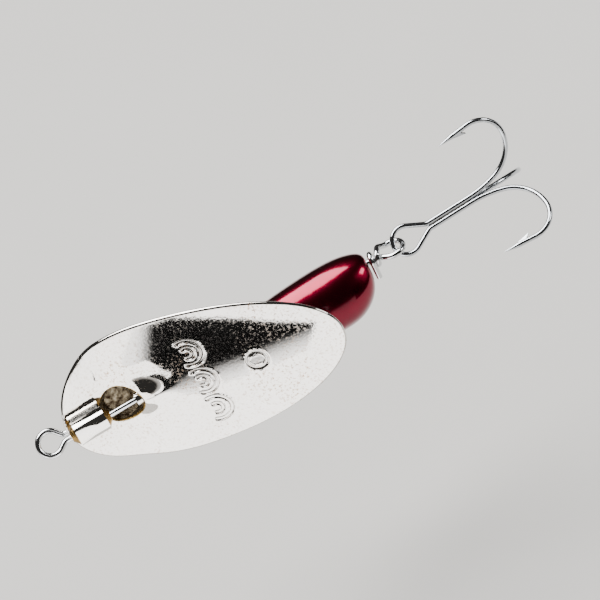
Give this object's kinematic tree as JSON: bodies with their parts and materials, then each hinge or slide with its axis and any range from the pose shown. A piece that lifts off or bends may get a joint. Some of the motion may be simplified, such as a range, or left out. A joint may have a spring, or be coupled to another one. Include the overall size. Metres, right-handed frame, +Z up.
{
  "type": "in-line spinner lure",
  "caption": "In-line spinner lure: an oval plated blade turns on a straight wire shaft ahead of a red teardrop weight, with a barbed treble hook linked at the rear.",
  "frame": {"origin": "centre of the line-tie eye at the front of the shaft wire", "axes": "+X along the shaft from the line-tie eye aft to the hook, +Z up, the blade's outer face towards -Y at rest"},
  "size_m": [0.0652, 0.0177, 0.0184],
  "materials": {
    "wire": "drawn stainless wire, bright",
    "blade_plate": "nickel plated brass sheet, mirror bright with faint tarnish",
    "cup_brass": "drawn brass, tarnished brown",
    "sleeve_plate": "nickel plated brass",
    "tube_plate": "nickel plated brass tube",
    "bush_brass": "turned brass, dull",
    "braze": "silver braze",
    "bead_brass": "turned brass",
    "weight_coat": "clear red lacquer over bright metal",
    "liner_brass": "drawn brass tube",
    "hook_steel": "nickelled high carbon steel wire"
  },
  "bodies": {
    "shaft": {"shaft_wire": "wire"},
    "rotor": {"blade": "blade_plate", "wire_cup": "cup_brass", "wire_sleeve": "sleeve_plate", "bearing_tube": "tube_plate", "front_bush": "bush_brass", "rear_bush": "bush_brass", "tube_braze": "braze"},
    "bead": {"thrust_bead": "bead_brass"},
    "weight": {"weight_body": "weight_coat", "weight_liner": "liner_brass"},
    "hook": {"hook_pair": "hook_steel", "hook_single": "hook_steel", "hook_braze": "braze"}
  },
  "joints": [
    {"name": "blade_spin", "type": "hinge", "parent": "shaft", "child": "rotor", "pos_m": [0.005, -0.00037, -0.00052], "axis": [1, 0, 0], "continuous": true},
    {"name": "bead_spin", "type": "hinge", "parent": "shaft", "child": "bead", "pos_m": [0.015, -0.00037, -0.00052], "axis": [1, 0, 0], "continuous": true},
    {"name": "weight_spin", "type": "hinge", "parent": "shaft", "child": "weight", "pos_m": [0.03, -0.00037, -0.00052], "axis": [1, 0, 0], "continuous": true},
    {"name": "hook_swing", "type": "hinge", "parent": "shaft", "child": "hook", "pos_m": [0.04665, -0.00037, -0.00052], "axis": [0, -0.8192, 0.5736], "range_deg": [-75, 75]}
  ]
}
